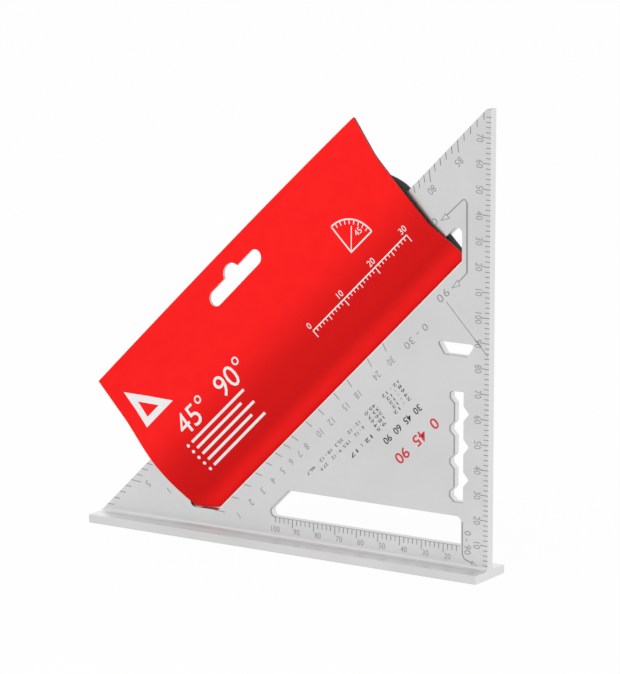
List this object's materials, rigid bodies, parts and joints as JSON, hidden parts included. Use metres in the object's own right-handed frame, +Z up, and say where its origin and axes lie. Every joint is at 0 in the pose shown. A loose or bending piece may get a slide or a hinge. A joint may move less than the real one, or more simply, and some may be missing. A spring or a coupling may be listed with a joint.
{
  "type": "rafter square",
  "caption": "Aluminium rafter square: a right-angled blade on a bearing fence, with marking windows and engraved scales, hung with a folded card sleeve that slides on its strip.",
  "frame": {"origin": "centre of the fence's underside", "axes": "+X along the fence towards the leg's edge, +Y from the front face to the back, +Z up the leg"},
  "size_m": [0.183, 0.022, 0.1845],
  "materials": {
    "aluminium": "satin",
    "card": "semi-gloss printed",
    "glue": "matte"
  },
  "bodies": {
    "square": {"square_body": "aluminium"},
    "sleeve": {"sleeve_card": "card", "header_glue": "glue"}
  },
  "joints": [
    {"name": "sleeve_slide", "type": "slide", "parent": "square", "child": "sleeve", "axis": [0.7071, 0, 0.7071], "range_m": [0, 0.002]}
  ]
}
